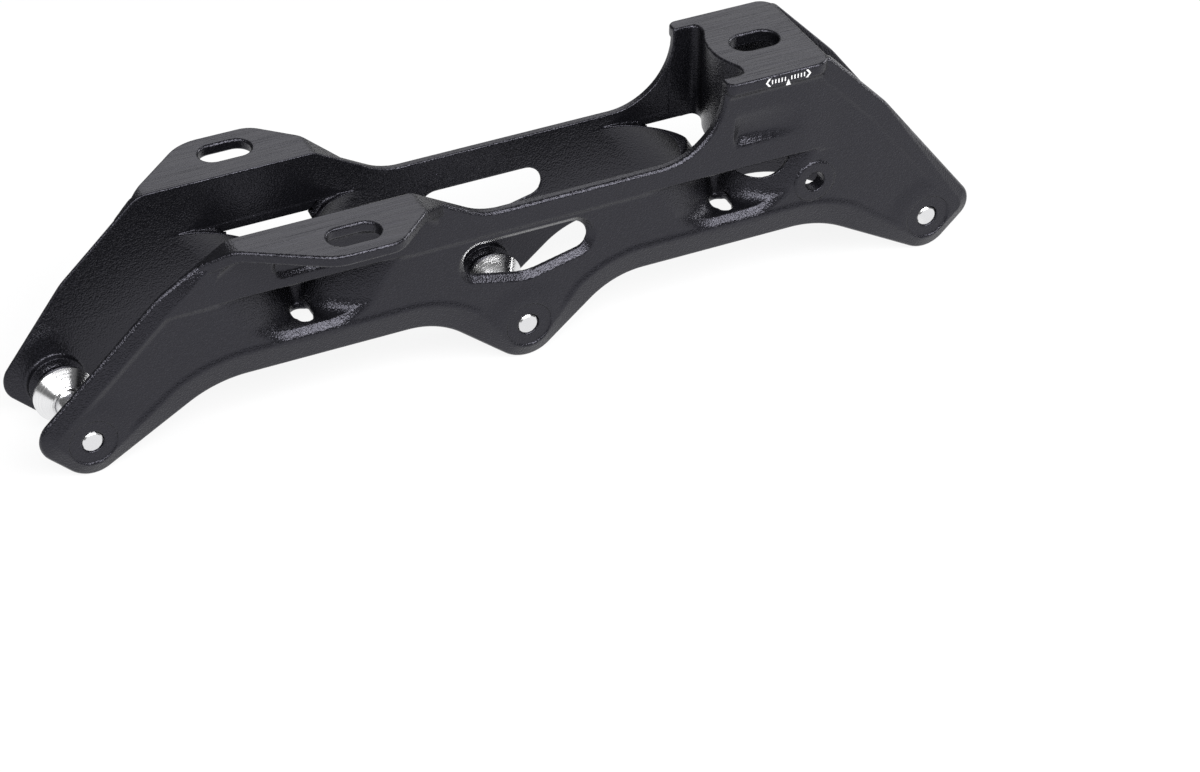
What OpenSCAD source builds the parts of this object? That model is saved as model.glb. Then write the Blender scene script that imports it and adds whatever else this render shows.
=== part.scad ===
// Three-wheel inline skate frame, machined in one piece: two side plates, two front mounting flanges,
// a heel deck on a cross web, and two X-shaped braces that follow the wheels. Three screwed axles carry
// a loose bearing spacer each. The frame stands on its axle lobes: X points to the toe, Y to the left
// and Z up, with the origin on the ground under the middle axle.

/* [Wheels and axles] */
// Distance from one axle to the next
axle_pitch = 127.5; // [122:0.5:132]
// Largest wheel that the braces leave room for
wheel_d = 125; // [118:1:125]
// Clearance between that wheel's tread and the braces
wheel_gap = 2; // [1.5:0.25:3]
// Diameter of the axle shank
axle_d = 8; // [6:0.5:9]
// Diameter of the axle's threaded end
thread_d = 6.2; // [5:0.1:7]
// Diameter of the axle head
head_d = 10.1; // [9:0.1:11.5]
// Thickness of the axle head
head_t = 2.2; // [1.6:0.1:2.4]
// Depth of the head's top below the side plate's outer face
head_sink = 0.3; // [0:0.1:0.6]
// Width of the six-lobe socket in the head, across its lobes
socket_d = 5; // [4:0.1:6]
// Depth of the six-lobe socket
socket_depth = 2.6; // [1:0.1:4]
// Radial clearance of the axle in its bores
axle_gap = 0.05; // [0.02:0.01:0.1]

/* [Bearing spacers] */
// Length of a spacer along its axle
spacer_len = 10.2; // [8:0.1:14]
// Diameter of the collars that touch the bearings
spacer_collar_d = 10.5; // [9.8:0.1:12]
// Length of each collar
spacer_collar_len = 1.4; // [0.8:0.1:2]
// Diameter of the rim round the middle
spacer_rim_d = 17.2; // [14:0.1:19]
// Width of that rim
spacer_rim_w = 2.2; // [1.4:0.1:3]
// Gap between a spacer and the boss that it rests by
spacer_gap = 0.3; // [0.2:0.05:0.6]

/* [Side plates] */
// Clear width between the two side plates
plate_gap = 29.2; // [28:0.1:31]
// Thickness of a side plate
plate_t = 2.9; // [2.6:0.1:3.4]
// Depth of the lobes below the axle line
lobe_drop = 11.2; // [10.6:0.1:12.2]
// Radius of the end lobes
end_lobe_r = 9; // [8:0.25:10]
// Radius of the middle lobe
mid_lobe_r = 10.5; // [9.5:0.25:11]
// Height of the arches between the lobes, above the axle line
arch_h = 7.8; // [6.5:0.1:9]
// Slope of the middle lobe's flanks
mid_flank = 39.5; // [36:0.5:44]
// Slope of the end lobes' flanks
end_flank = 29.6; // [27:0.5:33]
// Reach of the plates past the end axles
end_reach = 14.2; // [13:0.1:16]
// Height of the beam's top edge above the axle line, between the mounts
beam_top = 40; // [38:0.5:44]
// Depth of the bevel on the outer face
bevel_depth = 1.6; // [1:0.1:2]
// Width of that bevel over the arches
arch_bevel = 7.5; // [5:0.25:8.5]
// Width of that bevel round the lobes
lobe_bevel = 4; // [2.5:0.25:5]
// Diameter of the inner bosses round the axles
boss_d = 16; // [13:0.5:18]
// Height of those bosses above the plate's inner face
boss_h = 2.1; // [1.5:0.1:2.4]
// Diameter of the shallow round recess outside each axle
recess_d = 13.4; // [12.5:0.1:14.5]
// Depth of that recess
recess_depth = 0.5; // [0.3:0.05:0.8]

/* [Front flanges] */
// Height of the flanges' top faces above the axle line
front_top = 51.5; // [49:0.5:54]
// Thickness of a flange
flange_t = 3.4; // [3:0.1:4.5]
// Reach of a flange from the middle plane
flange_reach = 35.6; // [34:0.2:38]
// Radius of the fillet under a flange
flange_fillet = 3; // [2:0.25:4]
// Place of the left slot along the frame
left_slot_x = 54.5; // [50:0.5:58]
// Place of the right slot along the frame
right_slot_x = 70.5; // [66:0.5:74]
// Place of both front slots across the frame
front_slot_y = 26.5; // [25.5:0.1:28]
// Length of a front slot
front_slot_len = 14.8; // [10:0.2:16]
// Width of a front slot
front_slot_w = 8.2; // [6:0.1:9]

/* [Heel deck] */
// Height of the deck's top face above the axle line
deck_top = 62.6; // [60:0.2:65]
// Thickness of the deck
deck_t = 3.8; // [3.2:0.1:5]
// Width of the deck
deck_w = 39; // [37.5:0.25:41]
// Place of the heel slot along the frame
heel_slot_x = -77.9; // [-80:0.1:-76]
// Length of the heel slot
heel_slot_len = 14.2; // [10:0.2:16]
// Width of the heel slot
heel_slot_w = 8.5; // [6:0.1:9]
// Thickness of the web under the deck's front edge
web_t = 4.5; // [3.5:0.25:6]
// Radius of the fillets where that web meets the plates
web_fillet = 4; // [2:0.5:5]

/* [Braces] */
// Height of the braces' underside above the axle line
brace_bottom = 17.8; // [16.5:0.1:19]
// Height of the upper beam's underside above the axle line
brace_top = 33.5; // [32:0.25:35]
// Wall of the braces
brace_t = 2.8; // [2.4:0.1:3.4]
// Height of the braces' arms above the axle line
arm_top = 36.4; // [35:0.1:38]
// Height of the block between the arms above the axle line
waist_top = 28.8; // [26:0.2:30]
// Radius of the opening in the rear brace's hind arm
arm_hole_r = 9.5; // [8:0.25:11]
// Place of that opening behind the middle axle
arm_hole_x = 73; // [72:0.25:75]
// Height of its lowest point above the axle line
arm_hole_bottom = 25; // [23:0.2:27]
// Thickness of the floor between the two arms of a brace
floor_t = 1.8; // [1.4:0.1:2.4]
// Width of the drain slots in that floor
drain_w = 6; // [4:0.25:6.5]
// Length of the drain slots across the frame
drain_len = 8.4; // [6.5:0.1:8.6]
// Place of the drain slots' middle across the frame
drain_y = 9.8; // [9:0.1:10]

/* [Openings and pockets] */
// Width of the middle window
window_w = 37; // [30:0.5:40]
// Height of the window's top edge above the axle line
window_top = 29.2; // [28:0.2:31]
// Height of the window's lowest point above the axle line
window_bottom = 17.1; // [16.5:0.1:19]
// Width of the chamfer round the window
window_bevel = 2.5; // [1:0.25:3]
// Place of the brake bolt's holes behind the middle axle
brake_x = 89.4; // [87:0.2:92]
// Height of those holes above the axle line
brake_h = 22.6; // [20:0.2:25]
// Diameter of those holes
brake_d = 6; // [4:0.1:7]
// Diameter of the pads round those holes
brake_pad_d = 12; // [10:0.5:14]
// Height of those pads above the plates' inner faces
brake_pad_h = 1.5; // [1:0.1:2.5]
// Depth of the pockets in the outer faces
pocket_depth = 0.8; // [0.4:0.1:1.2]

/* [Hidden] */
AXLES = ["front", "middle", "rear"];
$fn = 96;
arc_step = 7.5;      // turn of one chord on a curved outline, in degrees
eps = 0.1;           // small overlap between pieces of one solid
past = 1;            // how far a cut runs past the face that it opens
through = 200;       // length of a cut that has to pass right through

plate_in = plate_gap / 2;
plate_out = plate_in + plate_t;
boss_face = plate_in - boss_h;
head_seat = plate_out - head_sink - head_t;
shank_end = boss_face - 0.1;
land = plate_out - bevel_depth;
edge_bevel = 0.8;
tip_bevel = 4.5;
heel_tip_bevel = 3.5;

// Lower edge: lobes are convex arcs, and each arch ends in two concave ones
arch_end_r = 34;
arch_mid_r = 25;
end_run = flank_run(arch_h - arch_end_r + lobe_drop - end_lobe_r, arch_end_r + end_lobe_r, end_flank);
mid_run = flank_run(arch_h - arch_mid_r + lobe_drop - mid_lobe_r, arch_mid_r + mid_lobe_r, mid_flank);
toe_tip_r = 7.5;
toe_tip_z = 2.3;
heel_tip_r = 6.5;
heel_tip_z = 1.7;

// Upper edge: corner radii, and places measured from the slots that the corners serve
front_rear_corner = 20.4;
front_rear_rise = 46.9;
front_corner_r = 4;
front_nose_r = 8;
rise_r = 20;
nose_from_slot = [29.2, 26.3];
shoulder_r = 20;
shoulder = [[axle_pitch - 33.8, 23.1], [axle_pitch - 19.1, 16.1]];
heel_arc_r = 19.7;
heel_front = heel_slot_x + 17.9;
heel_back = heel_slot_x - 14.6;
heel_corner_r = 4;
heel_edge_r = 1.5;
fin_bulge = [heel_slot_x - 18.8, deck_top - 33.1];
fin_bulge_r = 20;
top_step = 0.1;      // how far the plates stay below the mounting faces

well_r = wheel_d / 2 + wheel_gap;
well_half = plate_in - eps;
nose_r = well_r + brace_t;
nose_half = well_half + brace_t;
plate_reach_r = nose_r - nose_half + 2;
plate_overlap = 1.5; // how far a brace runs into the plate's edge
arm_root_r = plate_reach_r - plate_overlap;
brace_x = axle_pitch / 2;
waist_lap = 8.55;    // how far the block at a brace's waist runs into each arm
waist_least = 5;
waist_half = max(waist_least, brace_x - nose_r + waist_lap);
waist_w = 11;
floor_half = brace_x - arm_root_r;
drain_rise = 1.5;    // height to which a drain slot opens the arms above the floor

SIDE_LEFT = 0;
SIDE_RIGHT = 1;
TOE_SHOULDER = 9;    // places of two arcs in a plate's outline
FRONT_RISE = 12;
slot_x = [left_slot_x, right_slot_x];

// Plan of the flanges and the heel deck
flange_root = plate_in + 1;
flange_behind = 31.5;
flange_ahead = [41, 32];
flange_corner_front = [[4.3, 14], [4.9, 14]];
flange_corner_rear = [7.2, 8];
deck_corner_r = 5;
deck_front_r = 1;
web_front = heel_slot_x + 13;

// Distance along X between two tangent arcs that a flank of the given slope joins
function flank_run(rise, radii, slope) = (rise * cos(slope) + radii) / sin(slope);

// Direction of the straight that joins two arcs, given as [x, z, signed radius, bevel]
function heading(p, q) =
    atan2(q[1] - p[1], q[0] - p[0]) - asin((q[2] - p[2]) / norm([q[0] - p[0], q[1] - p[1]]));

// Points of one arc of a closed outline of tangent arcs, counter-clockwise, with concave arcs negative.
// A share of the arc's own bevel can be taken off, or a margin added.
function arc_points(arcs, i, share = 0, margin = 0) =
    let (
        count = len(arcs),
        arc = arcs[i],
        from = heading(arcs[(i + count - 1) % count], arc),
        to = heading(arc, arcs[(i + 1) % count]),
        turn = arc[2] >= 0 ? (to - from + 720) % 360 : -((from - to + 720) % 360),
        steps = max(1, ceil(abs(turn) / arc_step)),
        r = arc[2] - share * arc[3] + margin
    )
    [for (k = [0 : steps]) let (t = from + turn * k / steps) [arc[0] + r * sin(t), arc[1] - r * cos(t)]];

function outline(arcs, share = 0, margin = 0) =
    [for (i = [0 : len(arcs) - 1]) each arc_points(arcs, i, share, margin)];

// Depth per width of the bevel at each point of an outline
function slopes(arcs) =
    [for (i = [0 : len(arcs) - 1]) for (p = arc_points(arcs, i)) bevel_depth / arcs[i][3]];

function reversed(list) = [for (i = [len(list) - 1 : -1 : 0]) list[i]];

// Arcs of the lower edge in front of the middle lobe
function lower_front() = [
    [mid_run, arch_h - arch_mid_r, -arch_mid_r, arch_bevel],
    [axle_pitch - end_run, arch_h - arch_end_r, -arch_end_r, arch_bevel],
    [axle_pitch, end_lobe_r - lobe_drop, end_lobe_r, lobe_bevel]
];

// The same arcs behind it
function lower_rear() = [for (i = [2 : -1 : 0]) let (a = lower_front()[i]) [-a[0], a[1], a[2], a[3]]];

function tip_x(r) = axle_pitch + end_reach - r;

// Arcs of one side plate's outline, from the heel's tip along the ground to the toe and back over the top
function plate_arcs(side) = let (slot = slot_x[side], top = front_top - top_step) concat(
    [[-tip_x(heel_tip_r), heel_tip_z, heel_tip_r, heel_tip_bevel]],
    lower_rear(),
    [[0, mid_lobe_r - lobe_drop, mid_lobe_r, lobe_bevel]],
    lower_front(),
    [
        [tip_x(toe_tip_r), toe_tip_z, toe_tip_r, tip_bevel],
        [shoulder[side][0], shoulder[side][1], shoulder_r, tip_bevel],
        [slot + nose_from_slot[side], top - front_nose_r, front_nose_r, edge_bevel],
        [slot - front_rear_corner, top - front_corner_r, front_corner_r, edge_bevel],
        [slot - front_rear_rise, beam_top + rise_r, -rise_r, edge_bevel],
        [heel_front + heel_arc_r, beam_top + heel_arc_r, -heel_arc_r, edge_bevel],
        [heel_front - heel_edge_r, deck_top - top_step - heel_edge_r, heel_edge_r, edge_bevel],
        [heel_back + heel_edge_r, deck_top - top_step - heel_corner_r, heel_corner_r, edge_bevel],
        [fin_bulge[0], fin_bulge[1], fin_bulge_r, edge_bevel]
    ]
);

// Arcs of the middle window
window_corner_r = 5;
window_side_r = 4;
window_floor_r = 12;
window_arcs = [
    [0, window_bottom + window_floor_r, window_floor_r, -window_bevel],
    [window_w / 2 - window_side_r, window_top - window_corner_r, window_side_r, -window_bevel],
    [window_w / 2 - window_corner_r, window_top - window_corner_r, window_corner_r, -window_bevel],
    [window_corner_r - window_w / 2, window_top - window_corner_r, window_corner_r, -window_bevel],
    [window_side_r - window_w / 2, window_top - window_corner_r, window_side_r, -window_bevel]
];

// Arcs of the shallow pocket under the heel deck, as [from the slot, above the beam's top edge, radius]
heel_pocket = [[12.3, 4.8, 2.2], [10.5, 7, 3.2], [2, 6, 3.6]];
heel_pocket_arcs = [for (a = heel_pocket) [heel_slot_x + a[0], beam_top + a[1], a[2], 0]];

// Arcs of the shallow panel under the left flange, as [from the slot, above the beam's underside, radius]
side_panel = [[-11.5, 6.6, 3.5], [16.5, 6.6, 3.5], [7.5, 8.3, 3.5], [-4.5, 8.3, 3.5]];
side_panel_arcs = [for (a = side_panel) [left_slot_x + a[0], brace_top + a[1], a[2], 0]];

// Ring that cuts the bevel off a plate's outer edge: three loops of points, joined all round
module bevel_ring(arcs) {
    margin = 0.5;
    over = 0.1;
    rim = outline(arcs, 0, margin);
    crease = outline(arcs, 1 + over);
    slope = slopes(arcs);
    n = len(rim);
    points = concat(
        [for (i = [0 : n - 1]) [rim[i][0], land - margin * slope[i], rim[i][1]]],
        [for (p = rim) [p[0], plate_out + past, p[1]]],
        [for (p = crease) [p[0], plate_out + over * bevel_depth, p[1]]]
    );
    faces = [
        for (side = [0 : 2])
            let (a = side * n, b = ((side + 1) % 3) * n)
            for (i = [0 : n - 1])
                let (j = (i + 1) % n)
                each [[a + i, a + j, b + j], [a + i, b + j, b + i]]
    ];
    polyhedron(points, faces, convexity = 10);
}

// Solid between y0 and y2 over a convex outline, whose edge is bevelled from y1 on
module bevelled(arcs, y0, y1, y2) {
    base = outline(arcs);
    top = outline(arcs, 1);
    n = len(base);
    points = concat(
        [for (p = base) [p[0], y0, p[1]]],
        [for (p = base) [p[0], y1, p[1]]],
        [for (p = top) [p[0], y2, p[1]]]
    );
    faces = concat(
        [[for (i = [n - 1 : -1 : 0]) i]],
        [for (level = [0, n]) for (i = [0 : n - 1])
            let (j = (i + 1) % n) [level + i, level + j, level + n + j, level + n + i]],
        [[for (i = [0 : n - 1]) 2 * n + i]]
    );
    polyhedron(points, faces, convexity = 10);
}

// Turns a shape drawn in X and Z into a plate from y0 to y1
module across(y0, y1) {
    translate([0, y1, 0])
        rotate([90, 0, 0])
            linear_extrude(y1 - y0, convexity = 10)
                children();
}

// Round bar along Y, between y0 and y1, on the axle line at x and z
module bar(x, z, d, y0, y1) {
    translate([x, y1, z])
        rotate([90, 0, 0])
            cylinder(d = d, h = y1 - y0);
}

// Draws a child for the left plate and its mirror image for the right one
module both_sides() {
    children();
    mirror([0, 1, 0]) children();
}

module on_side(side) {
    mirror([0, side == SIDE_RIGHT ? 1 : 0, 0]) children();
}

module slot_shape(length, width) {
    for (end = [-1, 1])
        translate([end * (length - width) / 2, 0]) circle(d = width);
    square([length - width, width], center = true);
}

// Wheel-shaped solid round one axle, with a round tread
module wheel_shape(x, r, half) {
    translate([x, 0, 0])
        rotate([90, 0, 0])
            rotate_extrude() {
                translate([0, -half]) square([r - half, 2 * half]);
                intersection() {
                    translate([r - half, 0]) circle(r = half);
                    translate([r - half - eps, -half - past]) square([half + past, 2 * (half + past)]);
                }
            }
}

// Opening between the upper and the lower beam where the brace leaves the plate
module scoop_shape(x) {
    difference() {
        translate([x - brace_x, brace_bottom]) square([axle_pitch, brace_top - brace_bottom]);
        for (end = [-1, 1])
            translate([x + end * brace_x, 0]) circle(r = plate_reach_r);
    }
}

module pocket(arcs) {
    across(plate_out - pocket_depth, plate_out + past) polygon(outline(arcs));
}

// One side plate with its windows
module side_plate(side) {
    difference() {
        across(plate_in, plate_out) polygon(outline(plate_arcs(side)));
        bevel_ring(plate_arcs(side));
        bevelled(window_arcs, plate_in - past, plate_out - plate_t / 2, plate_out + eps);
        for (x = [-brace_x, brace_x])
            across(plate_in - past, plate_out + past) scoop_shape(x);
        pocket(heel_pocket_arcs);
        if (side == SIDE_LEFT) pocket(side_panel_arcs);
    }
}

// Plan of one front flange, drawn on the left
module flange_plan(side) {
    front = flange_corner_front[side];
    rear = flange_corner_rear;
    polygon(outline([
        [slot_x[side] - flange_behind, flange_root, eps, 0],
        [slot_x[side] + flange_ahead[side], flange_root, eps, 0],
        [slot_x[side] + front[0], flange_reach - front[1], front[1], 0],
        [slot_x[side] - rear[0], flange_reach - rear[1], rear[1], 0]
    ]));
}

// Side view of one flange: a sheet that follows the plate's upper edge from the beam to the toe
module flange_sheet(side) {
    arcs = plate_arcs(side);
    upper = [for (i = [TOE_SHOULDER : FRONT_RISE]) each arc_points(arcs, i, 0, top_step)];
    lower = [for (i = [TOE_SHOULDER : FRONT_RISE]) each arc_points(arcs, i, 0, top_step - flange_t)];
    polygon(concat(upper, reversed(lower)));
}

// One front flange with the fillet that carries it
module flange(side) {
    intersection() {
        across(flange_root, flange_reach + past) flange_sheet(side);
        linear_extrude(front_top + past) flange_plan(side);
    }
    intersection() {
        translate([0, 0, beam_top])
            linear_extrude(front_top - beam_top - eps) flange_plan(side);
        translate([slot_x[side] - front_slot_len, plate_out, front_top - flange_t])
            rotate([90, 0, 90])
                linear_extrude(2 * front_slot_len)
                    difference() {
                        translate([-eps, -flange_fillet])
                            square([flange_fillet + eps, flange_fillet + eps]);
                        translate([flange_fillet, -flange_fillet]) circle(r = flange_fillet);
                    }
    }
}

// Heel deck, and the web that carries it between the plates
module heel() {
    half = deck_w / 2;
    translate([0, 0, deck_top - deck_t])
        linear_extrude(deck_t)
            difference() {
                polygon(outline([
                    [heel_back + deck_corner_r, deck_corner_r - half, deck_corner_r, 0],
                    [heel_front - deck_front_r, deck_front_r - half, deck_front_r, 0],
                    [heel_front - deck_front_r, half - deck_front_r, deck_front_r, 0],
                    [heel_back + deck_corner_r, half - deck_corner_r, deck_corner_r, 0]
                ]));
                translate([web_front, -plate_in]) square([through, plate_gap]);
            }
    translate([0, 0, brace_top + eps])
        linear_extrude(deck_top - brace_top - deck_t) {
            translate([web_front - web_t, -plate_in - eps]) square([web_t, plate_gap + 2 * eps]);
            for (end = [-1, 1])
                scale([1, end])
                    difference() {
                        translate([web_front - eps, plate_in - web_fillet])
                            square(web_fillet + eps);
                        translate([web_front + web_fillet, plate_in - web_fillet])
                            circle(r = web_fillet);
                    }
        }
}

// X-shaped brace halfway between two axles, with a floor between its arms
module brace(x) {
    floor_z = brace_bottom - floor_t;
    difference() {
        union() {
            intersection() {
                translate([x - brace_x, -through / 2, floor_z + eps])
                    cube([axle_pitch, through, arm_top - floor_z]);
                union() {
                    for (end = [-1, 1])
                        difference() {
                            wheel_shape(x + end * brace_x, nose_r, nose_half);
                            bar(x + end * brace_x, 0, 2 * arm_root_r, -through, through);
                        }
                    translate([x - waist_half, -waist_w / 2, 0]) cube([2 * waist_half, waist_w, waist_top]);
                }
            }
            translate([x - floor_half, -plate_in - eps, floor_z])
                cube([2 * floor_half, plate_gap + 2 * eps, floor_t]);
        }
        for (end = [-1, 1])
            wheel_shape(x + end * brace_x, well_r, well_half);
        bar(-arm_hole_x, arm_hole_bottom + arm_hole_r, 2 * arm_hole_r, -through / 2, through / 2);
        for (y = [-drain_y, drain_y])
            translate([x, y, floor_z - past])
                linear_extrude(past + floor_t + drain_rise)
                    rotate(90) slot_shape(drain_len, drain_w);
    }
}

// Inner boss and brake pad on one plate
module bosses() {
    for (x = [-axle_pitch, 0, axle_pitch])
        bar(x, 0, boss_d, boss_face, plate_in + eps);
    bar(-brake_x, brake_h, brake_pad_d, plate_in - brake_pad_h, plate_in + eps);
}

// Everything that is drilled through the axle line: screw holes on the left, head seats on the right
module axle_holes() {
    for (x = [-axle_pitch, 0, axle_pitch]) {
        bar(x, 0, thread_d + 2 * axle_gap, 0, through);
        bar(x, 0, axle_d + 2 * axle_gap, -through, 0);
        bar(x, 0, head_d + 4 * axle_gap, -through, -head_seat);
        both_sides() bar(x, 0, recess_d, plate_out - recess_depth, through);
    }
}

module mount_holes() {
    for (side = [SIDE_LEFT, SIDE_RIGHT])
        on_side(side)
            translate([slot_x[side], front_slot_y, front_top - through / 2])
                linear_extrude(through) slot_shape(front_slot_len, front_slot_w);
    translate([heel_slot_x, 0, deck_top - 2 * deck_t])
        linear_extrude(through) slot_shape(heel_slot_len, heel_slot_w);
    bar(-brake_x, brake_h, brake_d, -through / 2, through / 2);
}

// Puts what is drawn round the axle line at its height above the ground
module above_ground() {
    translate([0, 0, lobe_drop]) children();
}

module chassis() {
    color("#26282b")
        above_ground()
            difference() {
                union() {
                    for (side = [SIDE_LEFT, SIDE_RIGHT])
                        on_side(side) {
                            side_plate(side);
                            flange(side);
                            bosses();
                        }
                    heel();
                    for (x = [-brace_x, brace_x]) brace(x);
                }
                axle_holes();
                mount_holes();
            }
}

// Six-lobe star
module socket_shape() {
    lobe_d = socket_d / 4;
    circle(d = socket_d - lobe_d);
    for (turn = [0 : 60 : 300])
        rotate(turn) translate([(socket_d - lobe_d) / 2, 0]) circle(d = lobe_d);
}

// Axle with its head on the right and its screw thread, drawn plain, on the left
module axle(x) {
    head_top = head_seat + head_t;
    color("#d9dbde")
        above_ground()
            difference() {
                union() {
                    bar(x, 0, head_d, -head_top, -head_seat);
                    bar(x, 0, axle_d, -head_seat - head_t / 2, shank_end);
                    bar(x, 0, thread_d, 0, plate_out - recess_depth);
                }
                translate([x, -head_top - past, 0])
                    rotate([-90, 0, 0])
                        linear_extrude(socket_depth + past) socket_shape();
            }
}

// Spool that keeps a wheel's two bearings apart
module spacer(x) {
    bore_r = axle_d / 2 + axle_gap;
    middle = spacer_len / 2;
    color("#e3e5e8")
        above_ground()
            translate([x, spacer_gap - boss_face, 0])
                rotate([-90, 0, 0])
                    rotate_extrude()
                        polygon([
                            [bore_r, 0],
                            [spacer_collar_d / 2, 0],
                            [spacer_collar_d / 2, spacer_collar_len],
                            [spacer_rim_d / 2, middle - spacer_rim_w / 2],
                            [spacer_rim_d / 2, middle + spacer_rim_w / 2],
                            [spacer_collar_d / 2, spacer_len - spacer_collar_len],
                            [spacer_collar_d / 2, spacer_len],
                            [bore_r, spacer_len]
                        ]);
}

function axle_x(i) = axle_pitch * (1 - i);

chassis();
for (i = [0 : len(AXLES) - 1]) {
    axle(axle_x(i));
    spacer(axle_x(i));
}
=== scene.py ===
import math
import bmesh
import bpy
import numpy as np
from mathutils import Matrix, Vector


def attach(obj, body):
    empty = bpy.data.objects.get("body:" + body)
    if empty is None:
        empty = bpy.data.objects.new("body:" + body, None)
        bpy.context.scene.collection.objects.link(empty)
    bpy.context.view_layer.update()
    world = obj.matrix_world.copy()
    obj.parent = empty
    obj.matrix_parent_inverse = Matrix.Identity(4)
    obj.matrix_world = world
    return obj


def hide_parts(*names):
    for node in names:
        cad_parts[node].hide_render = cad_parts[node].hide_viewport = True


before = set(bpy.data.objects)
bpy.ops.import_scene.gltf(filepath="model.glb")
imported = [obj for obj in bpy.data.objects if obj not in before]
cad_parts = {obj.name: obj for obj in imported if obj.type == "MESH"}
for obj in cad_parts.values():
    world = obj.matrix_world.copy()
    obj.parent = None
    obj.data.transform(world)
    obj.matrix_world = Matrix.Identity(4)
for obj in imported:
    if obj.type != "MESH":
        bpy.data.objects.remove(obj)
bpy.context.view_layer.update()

MM = 0.001

# Sizes of the skate frame in millimetres, measured from the axle line
AXLE_PITCH = 127.5
GROUND = 11.2
AXLE_X = {"front": AXLE_PITCH, "middle": 0.0, "rear": -AXLE_PITCH}
LEFT, RIGHT = 0, 1

PLATE_IN = 14.6
PLATE_OUT = 17.5
BEVEL_DEPTH = 1.6
ARCH_BEVEL = 7.5
LOBE_BEVEL = 4.0
TIP_BEVEL = 4.5
HEEL_TIP_BEVEL = 3.5
EDGE_BEVEL = 0.8
ARCH_TOP = 7.8
ARCH_END_R = 34.0
ARCH_MID_R = 25.0
END_LOBE_R = 9.0
MID_LOBE_R = 10.5
MID_FLANK = math.radians(39.5)
END_FLANK = math.radians(29.6)
END_REACH = 14.2
TOE_TIP = (7.5, 2.3)
HEEL_TIP = (6.5, 1.7)
SHOULDER_R = 20.0
SHOULDER = ((AXLE_PITCH - 33.8, 23.1), (AXLE_PITCH - 19.1, 16.1))
BEAM_TOP = 40.0
TOP_STEP = 0.1

FRONT_TOP = 51.5
FRONT_NOSE_R = 8.0
FRONT_NOSE = (29.2, 26.3)
FRONT_CORNER_R = 4.0
FRONT_CORNER = 20.4
RISE_R = 20.0
RISE = 46.9
FLANGE_T = 3.4
FLANGE_REACH = 35.6
FLANGE_COVE = 3.4
FLANGE_BEHIND = 31.5
FLANGE_AHEAD = (41.0, 32.0)
FLANGE_FRONT_R = 14.0
FLANGE_FRONT = (4.3, 4.9)
FLANGE_REAR_R = 8.0
FLANGE_REAR = 7.2
FLANGE_LOWEST = 24.0
SLOT_X = (54.5, 70.5)
FRONT_SLOT_Y = 26.5
FRONT_SLOT = (14.8, 8.2)

DECK_TOP = 62.6
DECK_T = 3.8
DECK_HALF = 19.5
DECK_CORNER_R = 5.0
DECK_FRONT_R = 2.5
DECK_COVE = 2.6
HEEL_SLOT_X = -77.9
HEEL_SLOT = (14.2, 8.5)
HEEL_FRONT = HEEL_SLOT_X + 17.9
HEEL_BACK = HEEL_SLOT_X - 14.6
HEEL_ARC_R = 19.7
HEEL_EDGE_R = 1.5
HEEL_CORNER_R = 4.0
FIN_BULGE_R = 20.0
FIN_BULGE = (HEEL_SLOT_X - 18.8, DECK_TOP - 33.1)
WEB_FRONT = HEEL_SLOT_X + 13.8
WEB_ROUND_R = 18.0
WEB_T = 5.3
WEB_FILLET = 5.5

BRACE_X = AXLE_PITCH / 2
BRACE_LOW = 16.0
BEAM_LOW = 33.5
FLOOR_TOP = 18.2
LIP = 2.1
LIP_BLEND = (0.8, 4.5)
LIP_BLEND_X = (1.5, 7.0)
WELL = (64.5, 14.65)
ARM_START = 48.0
ARM_NOSE = 67.4
ARM_POWER = 1.5
ARM_TOP = 36.4
WAIST_HALF = 5.0
WAIST_SIDE = 3.0
WAIST_TOP = 28.8
ARM_HOLE = (-73.0, 34.5)
ARM_HOLE_R = 9.5
DRAIN_Y = 8.6
DRAIN = (7.0, 5.4)
DRAIN_RISE = 2.0

BOSS_R = 8.0
BOSS_FACE = 12.5
BRAKE = (-89.4, 22.6)
BRAKE_R = 3.0
BRAKE_PAD_R = 6.0
BRAKE_PAD_FACE = 13.1
BRAKE_RIM_R = 6.6
BRAKE_RIM_FACE = 17.45
RECESS_R = 6.7
RECESS_DEPTH = 0.5
THREAD_R = 3.15
SHANK_R = 4.05
HEAD_SEAT_R = 5.15
HEAD_SEAT = 15.0

# Relief of the outer faces: a raised rim along the wide bevels, the proud upper beam and the fin's border
RIM_DROP = 0.55
RIM_WIDTH = 2.2
RIM_CLEAR = (8.0, 15.0)
FIN_BORDER = (5.2, 7.0)
BEAM_FADE = (-98.0, -84.0)
BEAM_STEP = (-1.4, 0.2)
WINDOW_BEVEL = (2.2, 1.9)
SIDE_PANEL_DEPTH = 1.3
EDGE_CHAMFER = 0.5
HEEL_POCKET_DEPTH = 2.0
HEEL_POCKET_X = (HEEL_SLOT_X - 6.1, HEEL_SLOT_X + 15.0)
HEEL_POCKET_Z = (BEAM_TOP + 0.7, BEAM_TOP + 11.2)
HEEL_POCKET_SLOPE = (0.15, 1.1, 0.75, 0.32)
HEEL_POCKET_ROUND = (1.0, 0.6, 2.0)
FIN_START = HEEL_BACK + 6.0
RECESS_EDGE = 0.2
LEAST_BEVEL = 0.1
BEVEL_MOST = 1.1
ARM_FADE = (ARM_START + 1.0, ARM_START - 4.0)

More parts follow.
